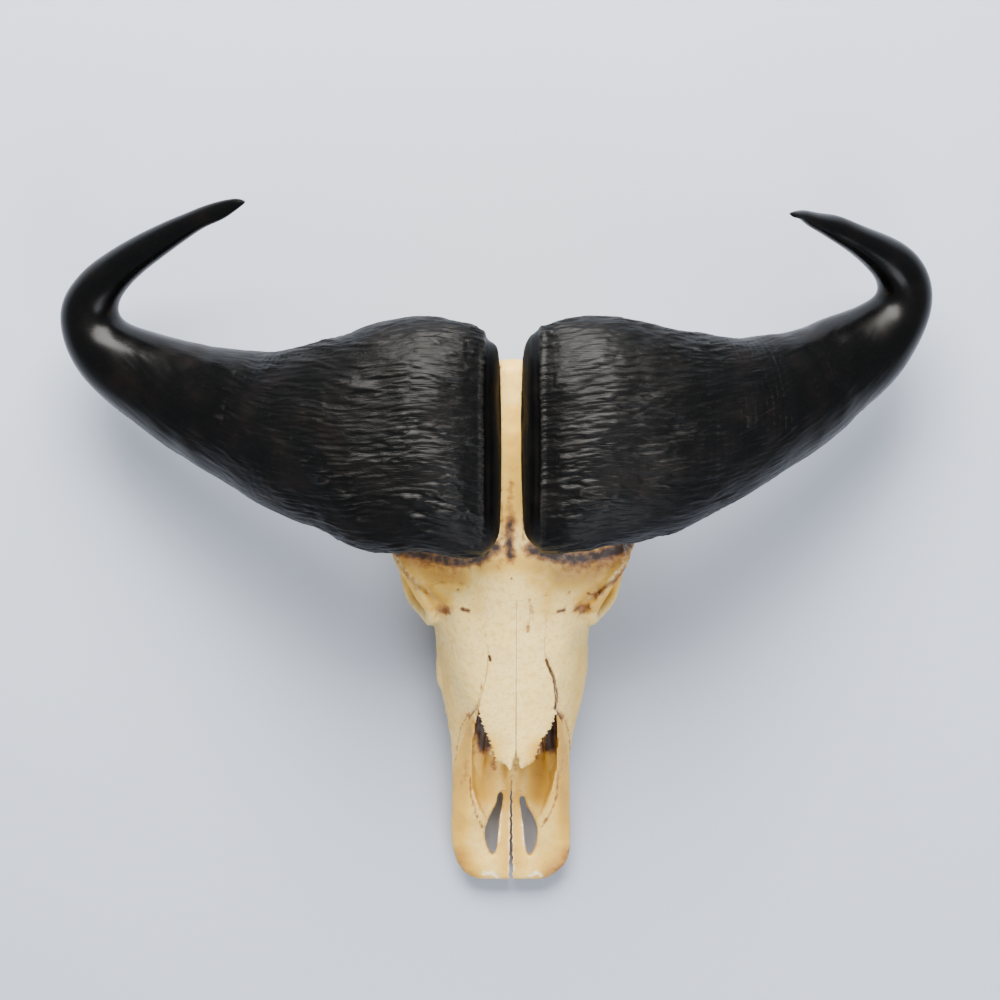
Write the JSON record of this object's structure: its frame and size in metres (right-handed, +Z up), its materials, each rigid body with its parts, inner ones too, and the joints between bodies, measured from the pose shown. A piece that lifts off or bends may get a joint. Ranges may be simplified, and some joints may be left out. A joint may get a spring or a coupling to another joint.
{
  "type": "cape buffalo skull",
  "caption": "Skull of a Cape buffalo bull with black horns and grooved bosses, without the lower jaw, resting on its cheek teeth.",
  "frame": {"origin": "under the middle of the whole skull, on the surface that the cheek teeth rest on", "axes": "+X towards the animal's left horn, +Y from the muzzle towards the neck, +Z up through the forehead"},
  "size_m": [0.922, 0.7168, 0.2981],
  "materials": {
    "bone": "dry weathered bone, cream with ochre and brown stains, matt",
    "pale_bone": "dry bleached bone, pale cream, matt",
    "muzzle_bone": "dry bone, ochre, matt to satin",
    "horn": "black horn keratin, rough and grooved on the boss, polished on the shaft and tip",
    "tooth": "worn enamel and dentine, ivory with brown stain"
  },
  "bodies": {
    "root": {"cranium": "bone", "left_nasal_bone": "pale_bone", "left_premaxilla": "muzzle_bone", "left_horn": "horn", "right_nasal_bone": "pale_bone", "right_premaxilla": "muzzle_bone", "right_horn": "horn", "left_second_premolar": "tooth", "left_third_premolar": "tooth", "left_fourth_premolar": "tooth", "left_first_molar": "tooth", "left_second_molar": "tooth", "left_third_molar": "tooth", "right_second_premolar": "tooth", "right_third_premolar": "tooth", "right_fourth_premolar": "tooth", "right_first_molar": "tooth", "right_second_molar": "tooth", "right_third_molar": "tooth"}
  },
  "joints": []
}
